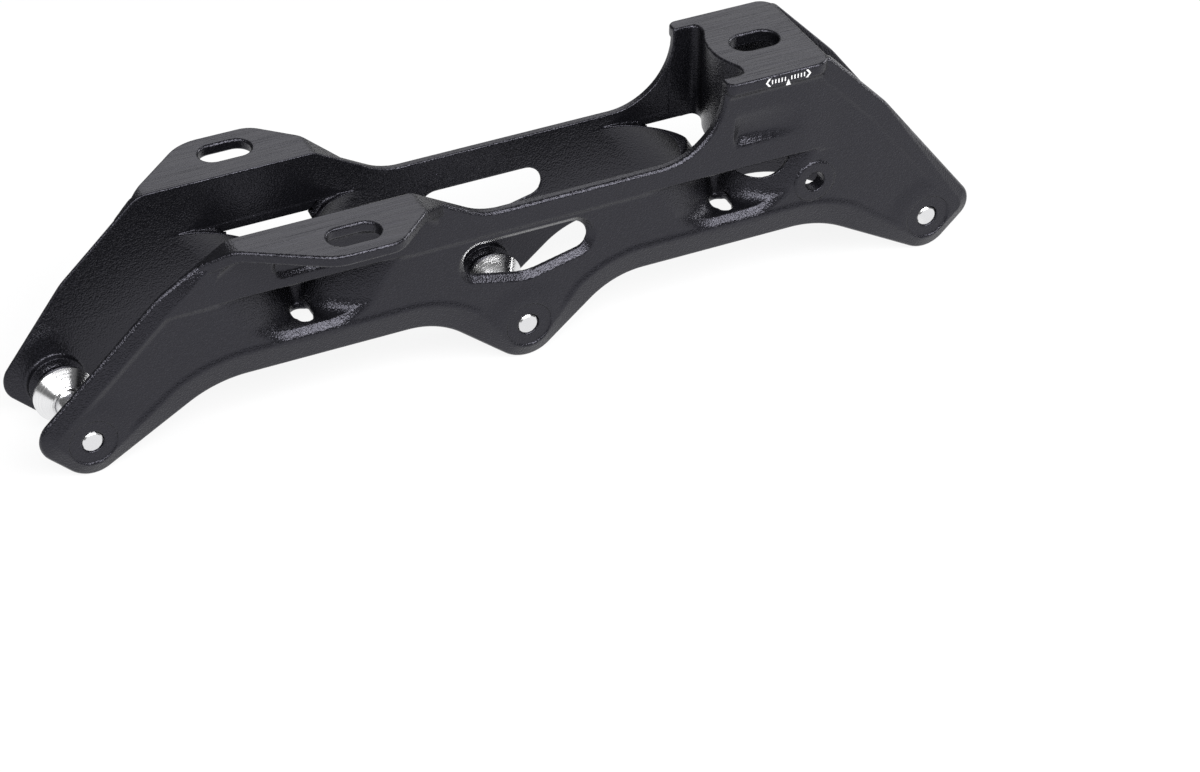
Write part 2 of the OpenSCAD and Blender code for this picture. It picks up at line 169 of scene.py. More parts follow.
# Rounds between the surfaces, and how far a raised piece reaches into the metal that it stands on
FAR = 1e3
OVERLAP = 1.0
CHAMFER_ROUND = 0.2
INNER_ROUND = 0.15
WINDOW_ROUND = 0.5
EDGE_ROUND = 0.6
KEEP_ROUND = 0.35
WELL_ROUND = 0.4
ARM_HOLE_ROUND = 0.5
ARM_ROUND = 2.5
WAIST_ROUND = 2.0
BEAM_ROUND = 0.8
WEB_ROUND = 0.3
BOSS_ROUND = 1.0
HOLE_ROUND = 0.3
DRAIN_ROUND = 1.2
THIN_CHAMFER = 0.1
BEVEL_LEAN = 0.95
WEB_LAP = 0.6
WEB_INSET = 0.3
RIM_ROOT = PLATE_IN + 0.5


def flank_run(rise, radii, slope):
    """Distance along X between two tangent arcs that a flank of this slope joins."""
    return (rise * math.cos(slope) + radii) / math.sin(slope)


def plate_arcs(side):
    """Outline of a side plate as tangent arcs (x, z, signed radius, bevel), counter-clockwise."""
    end_run = flank_run(ARCH_TOP - ARCH_END_R + GROUND - END_LOBE_R, ARCH_END_R + END_LOBE_R, END_FLANK)
    mid_run = flank_run(ARCH_TOP - ARCH_MID_R + GROUND - MID_LOBE_R, ARCH_MID_R + MID_LOBE_R, MID_FLANK)
    lower = [
        (mid_run, ARCH_TOP - ARCH_MID_R, -ARCH_MID_R, ARCH_BEVEL),
        (AXLE_PITCH - end_run, ARCH_TOP - ARCH_END_R, -ARCH_END_R, ARCH_BEVEL),
        (AXLE_PITCH, END_LOBE_R - GROUND, END_LOBE_R, LOBE_BEVEL),
    ]
    end = AXLE_PITCH + END_REACH
    slot = SLOT_X[side]
    top = FRONT_TOP - TOP_STEP
    deck = DECK_TOP - TOP_STEP
    return (
        [(HEEL_TIP[0] - end, HEEL_TIP[1], HEEL_TIP[0], HEEL_TIP_BEVEL)]
        + [(-x, z, r, w) for x, z, r, w in reversed(lower)]
        + [(0.0, MID_LOBE_R - GROUND, MID_LOBE_R, LOBE_BEVEL)]
        + lower
        + [
            (end - TOE_TIP[0], TOE_TIP[1], TOE_TIP[0], TIP_BEVEL),
            (*SHOULDER[side], SHOULDER_R, TIP_BEVEL),
            (slot + FRONT_NOSE[side], top - FRONT_NOSE_R, FRONT_NOSE_R, EDGE_BEVEL),
            (slot - FRONT_CORNER, top - FRONT_CORNER_R, FRONT_CORNER_R, EDGE_BEVEL),
            (slot - RISE, BEAM_TOP + RISE_R, -RISE_R, EDGE_BEVEL),
            (HEEL_FRONT + HEEL_ARC_R, BEAM_TOP + HEEL_ARC_R, -HEEL_ARC_R, EDGE_BEVEL),
            (HEEL_FRONT - HEEL_EDGE_R, deck - HEEL_EDGE_R, HEEL_EDGE_R, EDGE_BEVEL),
            (HEEL_BACK + HEEL_EDGE_R, deck - HEEL_CORNER_R, HEEL_CORNER_R, EDGE_BEVEL),
            (*FIN_BULGE, FIN_BULGE_R, EDGE_BEVEL),
        ]
    )


RIM_EDGES = (0, 1, 2, 3, 4, 5, 6, 7, 8, 9)
FIN_EDGES = (15, 16)
WINDOW_ARCS = [
    (0.0, 29.1, 12.0, 0.0),
    (14.5, 24.2, 4.0, 0.0),
    (13.5, 24.2, 5.0, 0.0),
    (-13.5, 24.2, 5.0, 0.0),
    (-14.5, 24.2, 4.0, 0.0),
]
SIDE_PANEL_ARCS = [
    (SLOT_X[LEFT] - 11.5, BEAM_LOW + 6.6, 3.5, 0.0),
    (SLOT_X[LEFT] + 16.5, BEAM_LOW + 6.6, 3.5, 0.0),
    (SLOT_X[LEFT] + 7.5, BEAM_LOW + 8.3, 3.5, 0.0),
    (SLOT_X[LEFT] - 4.5, BEAM_LOW + 8.3, 3.5, 0.0),
]
DECK_ARCS = [
    (HEEL_BACK + DECK_CORNER_R, DECK_CORNER_R - DECK_HALF, DECK_CORNER_R, 0.0),
    (HEEL_FRONT - DECK_FRONT_R, DECK_FRONT_R - DECK_HALF, DECK_FRONT_R, 0.0),
    (HEEL_FRONT - DECK_FRONT_R, DECK_HALF - DECK_FRONT_R, DECK_FRONT_R, 0.0),
    (HEEL_BACK + DECK_CORNER_R, DECK_HALF - DECK_CORNER_R, DECK_CORNER_R, 0.0),
]


def flange_arcs(side):
    """Plan of a front flange as tangent arcs in X and Y."""
    slot = SLOT_X[side]
    root = PLATE_IN + OVERLAP
    point_r = 0.1
    return [
        (slot - FLANGE_BEHIND, root, point_r, 0.0),
        (slot + FLANGE_AHEAD[side], root, point_r, 0.0),
        (slot + FLANGE_FRONT[side], FLANGE_REACH - FLANGE_FRONT_R, FLANGE_FRONT_R, 0.0),
        (slot - FLANGE_REAR, FLANGE_REACH - FLANGE_REAR_R, FLANGE_REAR_R, 0.0),
    ]


# Distances to the finished surface, in millimetres, negative inside

def heading(p, q):
    """Direction of the straight that joins two tangent arcs."""
    run = math.hypot(q[0] - p[0], q[1] - p[1])
    return math.atan2(q[1] - p[1], q[0] - p[0]) - math.asin((q[2] - p[2]) / run)


def chain_distance(u, v, arcs):
    """Signed distance to a closed chain of tangent arcs, with the nearest arc's bevel and number."""
    best = np.full(u.shape, FAR)
    bevel = np.zeros(u.shape)
    nearest = np.zeros(u.shape, int)

    def keep(d, mask, width, i):
        closer = mask & (np.abs(d) < np.abs(best))
        best[closer] = d[closer]
        bevel[closer] = np.broadcast_to(width, u.shape)[closer]
        nearest[closer] = i

    for i, (cx, cy, r, width) in enumerate(arcs):
        after = arcs[(i + 1) % len(arcs)]
        start = heading(arcs[i - 1], arcs[i])
        stop = heading(arcs[i], after)
        sign = 1.0 if r >= 0 else -1.0
        turn = (sign * (stop - start)) % (2 * math.pi)
        du, dv = u - cx, v - cy
        angle = np.arctan2(sign * du, -sign * dv)
        within = (sign * (angle - start)) % (2 * math.pi) <= turn
        keep(sign * (np.hypot(du, dv) - abs(r)), within, width, i)
        p = (cx + r * math.sin(stop), cy - r * math.cos(stop))
        q = (after[0] + after[2] * math.sin(stop), after[1] - after[2] * math.cos(stop))
        length = math.hypot(q[0] - p[0], q[1] - p[1])
        if length > 1e-6:
            tx, ty = (q[0] - p[0]) / length, (q[1] - p[1]) / length
            along = np.clip((u - p[0]) * tx + (v - p[1]) * ty, 0.0, length)
            off_u, off_v = u - p[0] - along * tx, v - p[1] - along * ty
            side = np.where(off_u * ty - off_v * tx >= 0, 1.0, -1.0)
            share = along / length
            everywhere = np.ones(u.shape, bool)
            keep(side * np.hypot(off_u, off_v), everywhere, width + share * (after[3] - width), i)
    return best, bevel, nearest


def outline_distance(u, v, arcs, margin=8.0):
    """Signed distance to a small outline, worked out only near it."""
    low = [min(a[k] - abs(a[2]) for a in arcs) - margin for k in (0, 1)]
    high = [max(a[k] + abs(a[2]) for a in arcs) + margin for k in (0, 1)]
    near = (u > low[0]) & (u < high[0]) & (v > low[1]) & (v < high[1])
    out = np.full(u.shape, margin)
    out[near] = chain_distance(u[near], v[near], arcs)[0]
    return out


def round_min(a, b, k):
    """Nearer of two surfaces, with a round of about k where they meet inside."""
    h = np.clip(0.5 + 0.5 * (b - a) / k, 0.0, 1.0)
    return b + (a - b) * h - k * h * (1.0 - h)


def round_max(a, b, k):
    """What two surfaces share, with a round of about k on their edge."""
    return -round_min(-a, -b, k)


def ramp(t, soft=0.06):
    """Zero below 0 and rising with t above it, with a soft corner."""
    return 0.5 * (t + np.sqrt(t * t + soft * soft))


def ease(low, high, t):
    """Rises smoothly from 0 at low to 1 at high."""
    s = np.clip((t - low) / (high - low), 0.0, 1.0)
    return s * s * (3.0 - 2.0 * s)


def well_distance(x, y, z, axle):
    """Room for a wheel with a round tread."""
    r, half = WELL
    beyond = np.maximum(np.hypot(x - axle, z) - (r - half), 0.0)
    return np.hypot(beyond, y) - half


def arm_distance(x, y, z, axle):
    """Outside of a brace's arm, which leaves the outer face in a sweep round the wheel."""
    radius = np.hypot(x - axle, z)
    deep = ARM_NOSE - ARM_START
    u = np.maximum(radius - ARM_START, 0.0) / deep
    v = np.maximum(y, 0.01) / PLATE_OUT
    q = (u ** ARM_POWER + v ** ARM_POWER) ** (1.0 / ARM_POWER)
    slope = np.hypot((u / q) ** (ARM_POWER - 1.0) / deep, (v / q) ** (ARM_POWER - 1.0) / PLATE_OUT)
    return (q - 1.0) / slope - ease(*ARM_FADE, radius)


def hole_distance(a, b, place, r):
    """Distance to a round hole."""
    return np.hypot(a - place[0], b - place[1]) - r


def slot_distance(along, off, size):
    """Distance to a round-ended slot of this length and width."""
    reach = (size[0] - size[1]) / 2
    return np.hypot(np.maximum(np.abs(along) - reach, 0.0), off) - size[1] / 2


def rounded_corner(a, b, r):
    """Corner between two faces, rounded on its outside."""
    a, b = a + r, b + r
    return np.hypot(np.maximum(a, 0.0), np.maximum(b, 0.0)) - r + np.minimum(np.maximum(a, b), 0.0)


def chamfered(a, b, leg):
    """Corner between two faces, cut off flat on its outside."""
    return round_max(np.maximum(a, b), (a + b + leg) * math.sqrt(0.5), CHAMFER_ROUND)


def cove(a, b, r):
    """Inside corner between two faces, filled with a round of radius r."""
    return r - np.hypot(np.maximum(r - a, 0.0), np.maximum(r - b, 0.0))


def pocket_depth(outline, depth):
    """Depth of a pocket with sloped sides."""
    soft = 0.4
    return depth - ramp(depth - ramp(-outline, soft), soft)


def heel_pocket(x, z):
    """Depth of the pocket below the deck: steep in front and below, and gentle upwards and backwards."""
    back, front, low, high = HEEL_POCKET_SLOPE
    across_round, upright_round, both_round = HEEL_POCKET_ROUND
    across = round_min(back * (x - HEEL_POCKET_X[0]), front * (HEEL_POCKET_X[1] - x), across_round)
    upright = round_min(low * (z - HEEL_POCKET_Z[0]), high * (HEEL_POCKET_Z[1] - z), upright_round)
    soft = 0.3
    depth = ramp(round_min(across, upright, both_round), soft)
    return depth - ramp(depth - HEEL_POCKET_DEPTH, soft)


def wall_height(x, z, edge, bevel, nearest, side):
    """How far out the plate's outer face lies, with its bevels, rim, beam, pockets and axle recesses."""
    window = outline_distance(x, z, WINDOW_ARCS)
    depth = np.minimum(BEVEL_DEPTH, bevel)
    height = PLATE_OUT - depth * np.minimum(ramp(1.0 + edge / np.maximum(bevel, LEAST_BEVEL)), BEVEL_MOST)
    height -= WINDOW_BEVEL[1] * np.minimum(ramp(1.0 - window / WINDOW_BEVEL[0]), BEVEL_MOST)

    axle_r = np.minimum.reduce([np.hypot(x - a, z) for a in AXLE_X.values()])
    inside = np.ones(x.shape)
    rim = np.isin(nearest, RIM_EDGES)
    inside[rim] = ease(0.0, RIM_WIDTH, -edge - bevel)[rim]
    fin = np.isin(nearest, FIN_EDGES) & (x < FIN_START)
    inside[fin] = ease(*FIN_BORDER, -edge)[fin]
    under = 1.0 - ease(*BEAM_STEP, z - BEAM_LOW)
    below_beam = np.maximum(under, ease(BEAM_FADE[1], BEAM_FADE[0], x))
    height -= RIM_DROP * inside * below_beam * ease(*RIM_CLEAR, axle_r)
    height -= RECESS_DEPTH * ease(RECESS_R + RECESS_EDGE, RECESS_R - RECESS_EDGE, axle_r)

    height -= heel_pocket(x, z)
    if side == LEFT:
        height -= pocket_depth(outline_distance(x, z, SIDE_PANEL_ARCS), SIDE_PANEL_DEPTH)
    return height, window


def brace_core(x, y, z):
    """Metal between the plates: the braces' block, cut by the wheels' room and the hind arm's opening."""
    wells = np.minimum.reduce([well_distance(x, y, z, a) for a in AXLE_X.values()])
    core = np.maximum(BRACE_LOW - z, z - ARM_TOP)
    core = round_max(core, -hole_distance(x, z, ARM_HOLE, ARM_HOLE_R), ARM_HOLE_ROUND)
    return round_max(core, -wells, WELL_ROUND)


def brace_keep(x, y, z):
    """What the side scoops leave: the arms, the block between them, the lower lip and the upper beam."""
    arms = np.full(x.shape, FAR)
    for axle in AXLE_X.values():
        arms = round_min(arms, arm_distance(x, y, z, axle), ARM_ROUND)
    waist = np.maximum.reduce([np.abs(np.abs(x) - BRACE_X) - WAIST_HALF, y - WAIST_SIDE, z - WAIST_TOP])
    arms = round_min(arms, waist, WAIST_ROUND)
    lip = chamfered(y - PLATE_OUT, z - FLOOR_TOP, LIP)
    beam = np.maximum(BEAM_LOW - z, PLATE_IN - y)
    blend = LIP_BLEND[0] + (LIP_BLEND[1] - LIP_BLEND[0]) * ease(*LIP_BLEND_X, np.abs(np.abs(x) - BRACE_X))
    return round_min(round_min(arms, lip, blend), beam, BEAM_ROUND)


def heel_channel(x, y):
    """Channel between the plates in front of the heel web, whose face is rounded across the frame."""
    face = WEB_FRONT - y * y / (2 * WEB_ROUND_R)
    return rounded_corner(face - x, y - PLATE_IN, WEB_FILLET)


def heel_web(x, y, z, edge):
    """Upright web under the deck, between the plates."""
    ends = np.maximum(WEB_FRONT - WEB_T - x, x - WEB_FRONT - WEB_FILLET)
    levels = np.maximum(BEAM_LOW + TOP_STEP - z, z - DECK_TOP + OVERLAP)
    web = np.maximum.reduce([ends, levels, y - PLATE_IN - WEB_LAP, edge + WEB_INSET])
    return round_max(web, -heel_channel(x, y), WEB_ROUND)


def front_flange(x, y, z, edge, height, side):
    """Sheet along the plate's upper edge, with a cove under it."""
    plan = outline_distance(x, y, flange_arcs(side))
    reach = np.maximum(plan, FLANGE_LOWEST - z)
    sheet = chamfered(np.abs(edge + FLANGE_T / 2) - FLANGE_T / 2, reach, EDGE_CHAMFER)
    below = -edge - FLANGE_T
    fill = cove(y - height, below, FLANGE_COVE)
    under = np.maximum.reduce([fill, reach + OVERLAP, below - FLANGE_COVE, edge + OVERLAP])
    return np.minimum(sheet, under)


def heel_deck(x, y, z, height):
    """Deck with the channel's notch in its front edge, and a cove under its rim."""
    plan = outline_distance(x, y, DECK_ARCS)
    channel = heel_channel(x, y)
    deck = chamfered(plan, np.abs(z - DECK_TOP + DECK_T / 2) - DECK_T / 2, EDGE_CHAMFER)
    below = DECK_TOP - DECK_T - z
    fill = cove(y - height, below, DECK_COVE)
    rim = np.maximum.reduce([fill, plan + OVERLAP, below - DECK_COVE, -below - OVERLAP])
    return chamfered(np.minimum(deck, rim), -channel, EDGE_CHAMFER)


def side_distance(x, y, z, side):
    """Finished surface of one half of the frame, with y counted outwards from the middle plane."""
    edge, bevel, nearest = chain_distance(x, z, plate_arcs(side))
    height, window = wall_height(x, z, edge, bevel, nearest, side)
    inner = round_min(PLATE_IN - y, brace_core(x, y, z), INNER_ROUND)
    body = round_max(round_max(edge, -window, WINDOW_ROUND), inner, EDGE_ROUND)
    leg = np.where(bevel > 2 * EDGE_BEVEL, EDGE_CHAMFER, THIN_CHAMFER)
    body = chamfered(body, BEVEL_LEAN * (y - height), leg)
    body = round_max(body, brace_keep(x, y, z), KEEP_ROUND)

    body = np.minimum(body, heel_web(x, y, z, edge))
    for axle in AXLE_X.values():
        boss = np.maximum(BOSS_FACE - y, y - PLATE_IN - OVERLAP)
        body = round_min(body, np.maximum(hole_distance(x, z, (axle, 0.0), BOSS_R), boss), BOSS_ROUND)
    pad = np.maximum(BRAKE_PAD_FACE - y, y - PLATE_IN - OVERLAP)
    body = round_min(body, np.maximum(hole_distance(x, z, BRAKE, BRAKE_PAD_R), pad), BOSS_ROUND)
    rim = np.maximum(RIM_ROOT - y, y - BRAKE_RIM_FACE)
    body = np.minimum(body, chamfered(hole_distance(x, z, BRAKE, BRAKE_RIM_R), rim, EDGE_CHAMFER))
    body = np.minimum(body, front_flange(x, y, z, edge, height, side))
    body = np.minimum(body, heel_deck(x, y, z, height))

    drain = slot_distance(y - DRAIN_Y, np.abs(x) - BRACE_X, DRAIN)
    slots = np.minimum(
        slot_distance(x - SLOT_X[side], y - FRONT_SLOT_Y, FRONT_SLOT),
        np.maximum(slot_distance(x - HEEL_SLOT_X, y, HEEL_SLOT), DECK_TOP - 2 * DECK_T - z),
    )
    body = chamfered(body, -slots, EDGE_CHAMFER)
    holes = [hole_distance(x, z, BRAKE, BRAKE_R)]
    for axle in AXLE_X.values():
        if side == LEFT:
            holes.append(hole_distance(x, z, (axle, 0.0), THREAD_R))
        else:
            holes.append(hole_distance(x, z, (axle, 0.0), SHANK_R))
            holes.append(np.maximum(hole_distance(x, z, (axle, 0.0), HEAD_SEAT_R), HEAD_SEAT - y))
    for hole in holes:
        body = round_max(body, -hole, HOLE_ROUND)
    return round_max(body, -np.maximum(drain, z - FLOOR_TOP - DRAIN_RISE), DRAIN_ROUND)


def finished_distance(points):
    """Distance to the finished surface, with each side's own outline."""
    left = points[:, 1] >= 0
    out = np.empty(len(points))
    for side, mask in ((LEFT, left), (RIGHT, ~left)):
        p = points[mask]
        out[mask] = side_distance(p[:, 0], np.abs(p[:, 1]), p[:, 2], side)
    return out


def surface_slope(points):
    """Distance to the finished surface and its slope."""
    step = 0.02
    here = finished_distance(points)
    slope = np.empty_like(points)
    for axis in range(3):
        moved = points.copy()
        moved[:, axis] += step
        slope[:, axis] = (finished_distance(moved) - here) / step
    return here, slope


def settle(points, rounds):
    """Moves points onto the finished surface along its slope."""
    most = 0.8
    least_slope = 0.2
    for _ in range(rounds):
        here, slope = surface_slope(points)
        size = np.maximum((slope * slope).sum(1), least_slope)
        points = points - np.clip(here, -most, most)[:, None] * slope / size[:, None]
    return points


# Mesh helpers

def new_piece(name, bm, material, body):
    """Piece of the part that rides on a body and takes a material slot."""
    mesh = bpy.data.meshes.new(name)
    bm.to_mesh(mesh)
    bm.free()
    piece = bpy.data.objects.new(name, mesh)
    bpy.context.scene.collection.objects.link(piece)
    mesh.materials.append(material)
    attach(piece, body)
    return piece


def applied(piece):
    """Puts the result of the piece's modifiers into its mesh."""
    graph = bpy.context.evaluated_depsgraph_get()
    mesh = bpy.data.meshes.new_from_object(piece.evaluated_get(graph))
    old = piece.data
    piece.modifiers.clear()
    piece.data = mesh
    bpy.data.meshes.remove(old)


AXLE_LINE = np.array([0.0, 0.0, GROUND])
VOXEL = 0.45
MOST_TRIANGLES = 190000
MERGE = 0.002
LEVEL_NEAR = 0.12
SETTLE_FIRST = 5
SETTLE_AGAIN = 2
SMOOTH_ROUNDS = 3


def get_points(mesh):
    """Vertices in millimetres from the axle line."""
    flat = np.empty(len(mesh.vertices) * 3)
    mesh.vertices.foreach_get("co", flat)
    return flat.reshape(-1, 3) / MM - AXLE_LINE


def set_points(mesh, points):
    """Puts back vertices given in millimetres from the axle line."""
    mesh.vertices.foreach_set("co", ((points + AXLE_LINE) * MM).ravel())
    mesh.update()


def smooth_mesh(mesh):
    """Evens out the mesh once."""
    bm = bmesh.new()
    bm.from_mesh(mesh)
    bmesh.ops.smooth_vert(bm, verts=bm.verts, factor=0.5, use_axis_x=True, use_axis_y=True, use_axis_z=True)
    bm.to_mesh(mesh)
    bm.free()


def machined_body():
    """The milled frame: an even mesh of the solid, settled onto the finished surface and then thinned."""
    bm = bmesh.new()
    bm.from_mesh(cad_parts["chassis"].data)
    bmesh.ops.remove_doubles(bm, verts=bm.verts, dist=MERGE * MM)
    piece = new_piece("frame_body", bm, black_anodised(), "frame")
    even = piece.modifiers.new("even", "REMESH")
    even.mode = "VOXEL"
    even.voxel_size = VOXEL * MM
    applied(piece)
    set_points(piece.data, settle(get_points(piece.data), SETTLE_FIRST))
    for _ in range(SMOOTH_ROUNDS):
        smooth_mesh(piece.data)
        set_points(piece.data, settle(get_points(piece.data), SETTLE_AGAIN))
    thin = piece.modifiers.new("thin", "DECIMATE")
    thin.ratio = min(1.0, MOST_TRIANGLES / (2 * len(piece.data.polygons)))
    applied(piece)
    points = settle(get_points(piece.data), 1)
    set_points(piece.data, points)
    slope = surface_slope(points)[1]
    normals = slope / np.maximum(np.linalg.norm(slope, axis=1), 1e-6)[:, None]
    piece.data.shade_smooth()
    piece.data.normals_split_custom_set_from_vertices(normals.tolist())
    brush_tops(piece, points)
    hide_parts("chassis")
    return piece


def brush_tops(piece, points):
    """Gives the flat mounting faces their brushed finish."""
    piece.data.materials.append(brushed_top())
    height = points[:, 2]
    level = np.minimum(np.abs(height - DECK_TOP), np.abs(height - FRONT_TOP + TOP_STEP)) < LEVEL_NEAR
    corners = np.empty(len(piece.data.loops), int)
    piece.data.loops.foreach_get("vertex_index", corners)
    first = np.empty(len(piece.data.polygons), int)
    piece.data.polygons.foreach_get("loop_start", first)
    flat = np.minimum.reduceat(level[corners].astype(int), first)
    piece.data.polygons.foreach_set("material_index", flat)


# Turned hardware

TURN_STEPS = 96
HEAD_TOP = 17.2
HEAD_R = 5.05
AXLE_R = 4.0
SHANK_END = 12.4
SCREW_R = 3.1
SCREW_END = 17.0
SCREW_PITCH = 1.0
SCREW_DEPTH = 0.3
SOCKET_R = 2.1
SOCKET_LOBE = 0.4
SOCKET_FLOOR = HEAD_TOP - 2.6
CHAMFER = 0.3
LEDGE = 0.01
BOLT_SHARP = math.radians(30)
SPOOL_SHARP = math.radians(25)

SPACER_START = 0.3 - BOSS_FACE
SPACER_LEN = 10.2
SPACER_COLLAR_R = 5.25
SPACER_COLLAR = 0.7
SPACER_RIM_R = 8.6
SPACER_RIM = 1.4
SPACER_BORE_R = 4.05


def ring(bm, axle, y, radius, cap=False):
    """Loop of points round an axle, with the radius given for each angle."""
    made = bmesh.ops.create_circle(bm, cap_ends=cap, segments=TURN_STEPS, radius=1.0)["verts"]
    for v in made:
        angle = math.atan2(v.co.y, v.co.x)
        r = radius(angle)
        v.co = Vector((axle + r * math.cos(angle), y, GROUND + r * math.sin(angle))) * MM
    return [e for e in bm.edges if e.verts[0] in made and e.verts[1] in made]


def plain(r):
    """Round outline."""
    return lambda angle: r


def star(r):
    """Six-lobe outline."""
    return lambda angle: r + SOCKET_LOBE * math.cos(6 * angle)


def screw_thread(y):
    """Outline of the thread's cross section at a place along the axle."""
    def radius(angle):
        turn = (y / SCREW_PITCH + angle / (2 * math.pi)) % 1.0
        return SCREW_R - SCREW_DEPTH * abs(2 * turn - 1)
    return radius


def axle_bolt(place):
    """Axle with a six-lobe socket in its head and a screw thread at its other end."""
    axle = AXLE_X[place]
    thread_steps = 30
    thread_start = SHANK_END + CHAMFER
    thread_end = SCREW_END - CHAMFER
    stations = [
        (-SOCKET_FLOOR, star(SOCKET_R - 0.1)),
        (-HEAD_TOP + CHAMFER / 2, star(SOCKET_R)),
        (-HEAD_TOP, star(SOCKET_R + CHAMFER / 2)),
        (-HEAD_TOP, plain(HEAD_R - CHAMFER)),
        (-HEAD_TOP + CHAMFER, plain(HEAD_R)),
        (-HEAD_SEAT, plain(HEAD_R)),
        (-HEAD_SEAT + LEDGE, plain(AXLE_R)),
        (SHANK_END - CHAMFER, plain(AXLE_R)),
        (SHANK_END, plain(AXLE_R - CHAMFER)),
        (SHANK_END + LEDGE, plain(SCREW_R - SCREW_DEPTH)),
    ]
    for i in range(thread_steps + 1):
        y = thread_start + (thread_end - thread_start) * i / thread_steps
        stations.append((y, screw_thread(y)))
    stations.append((SCREW_END, plain(SCREW_R - SCREW_DEPTH - CHAMFER)))
    bm = bmesh.new()
    last = len(stations) - 1
    loops = [ring(bm, axle, y, radius, i in (0, last)) for i, (y, radius) in enumerate(stations)]
    for a, b in zip(loops, loops[1:]):
        bmesh.ops.bridge_loops(bm, edges=a + b)
    bmesh.ops.recalc_face_normals(bm, faces=bm.faces)
    piece = new_piece("axle_bolt_" + place, bm, BRIGHT_AXLE, "axle_" + place)
    piece.data.set_sharp_from_angle(angle=BOLT_SHARP)
    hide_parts("axle_" + place)


def spool(place):
    """Bearing spacer: a turned spool with two collars and a rim round its middle."""
    axle = AXLE_X[place]
    middle = SPACER_LEN / 2
    half = [
        (SPACER_BORE_R + CHAMFER, 0.0),
        (SPACER_COLLAR_R - CHAMFER, 0.0),
        (SPACER_COLLAR_R, CHAMFER),
        (SPACER_COLLAR_R, SPACER_COLLAR),
        (SPACER_RIM_R - CHAMFER, middle - SPACER_RIM / 2 - TOP_STEP),
        (SPACER_RIM_R, middle - SPACER_RIM / 2 + CHAMFER),
    ]
    profile = [(SPACER_BORE_R, CHAMFER)] + half
    profile += [(r, SPACER_LEN - y) for r, y in reversed(profile)]
    bm = bmesh.new()
    points = [bm.verts.new(Vector((axle + r, SPACER_START + y, GROUND)) * MM) for r, y in profile]
    edges = [bm.edges.new((points[i - 1], points[i])) for i in range(len(points))]
    middle_line = Vector((axle, 0.0, GROUND)) * MM
    bmesh.ops.spin(bm, geom=points + edges, cent=middle_line, axis=(0.0, 1.0, 0.0), angle=2 * math.pi,
                   steps=TURN_STEPS, use_merge=True)
    bmesh.ops.remove_doubles(bm, verts=bm.verts, dist=MERGE * MM)
    bmesh.ops.recalc_face_normals(bm, faces=bm.faces)
    piece = new_piece("spool_" + place, bm, BRIGHT_SPACER, "spacer_" + place)
    piece.data.set_sharp_from_angle(angle=SPOOL_SHARP)
    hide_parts("spacer_" + place)


# Printed scale on the deck's sides

MARK_MIDDLE = HEEL_SLOT_X - 0.4
MARK_LEVEL = 60.7
MARK_STEP = 1.0
MARK_COUNT = 11
MARK = (0.36, 1.3)
POINTER = (1.5, 1.9)
POINTER_DROP = -0.4
END_MARK = (1.0, 2.5, 0.65)
END_MARK_OFF = 7.1
PRINT_RISE = 0.03


def print_shape(bm, outline, side):
    """Thin printed patch on a deck's side, from an outline in X and Z round the scale's middle."""
    y = DECK_HALF + PRINT_RISE
    sign = 1.0 if side == LEFT else -1.0
    corners = [Vector((MARK_MIDDLE + u, sign * y, MARK_LEVEL + v + GROUND)) * MM for u, v in outline]
    face = bm.faces.new([bm.verts.new(c) for c in corners])
    grown = bmesh.ops.extrude_face_region(bm, geom=[face])["geom"]
    moved = [v for v in grown if isinstance(v, bmesh.types.BMVert)]
    bmesh.ops.translate(bm, verts=moved, vec=Vector((0.0, -sign * 2 * PRINT_RISE * MM, 0.0)))


def scale_marks(side, name):
    """Row of ticks with a pointer under its middle and an angle at each end."""
    bm = bmesh.new()
    half, tall = MARK[0] / 2, MARK[1] / 2
    for i in range(MARK_COUNT):
        u = (i - MARK_COUNT // 2) * MARK_STEP
        if u:
            print_shape(bm, [(u - half, -tall), (u + half, -tall), (u + half, tall), (u - half, tall)],
                        side)
    width, height = POINTER
    low = -tall - POINTER_DROP
    print_shape(bm, [(-width / 2, low - height), (width / 2, low - height), (0.0, low)], side)
    deep, high, thick = END_MARK
    for way in (1.0, -1.0):
        u, v = way * END_MARK_OFF, high / 2
        back = u - way * deep
        print_shape(bm, [(back, -v), (u, 0.0), (back, v), (back - way * thick, v), (u - way * thick, 0.0),
                         (back - way * thick, -v)], side)
    bmesh.ops.recalc_face_normals(bm, faces=bm.faces)
    new_piece(name, bm, WHITE_PRINT, "frame")


# Materials

COOL = (0.86, 0.85, 1.0)
OXIDE_IOR = 1.46


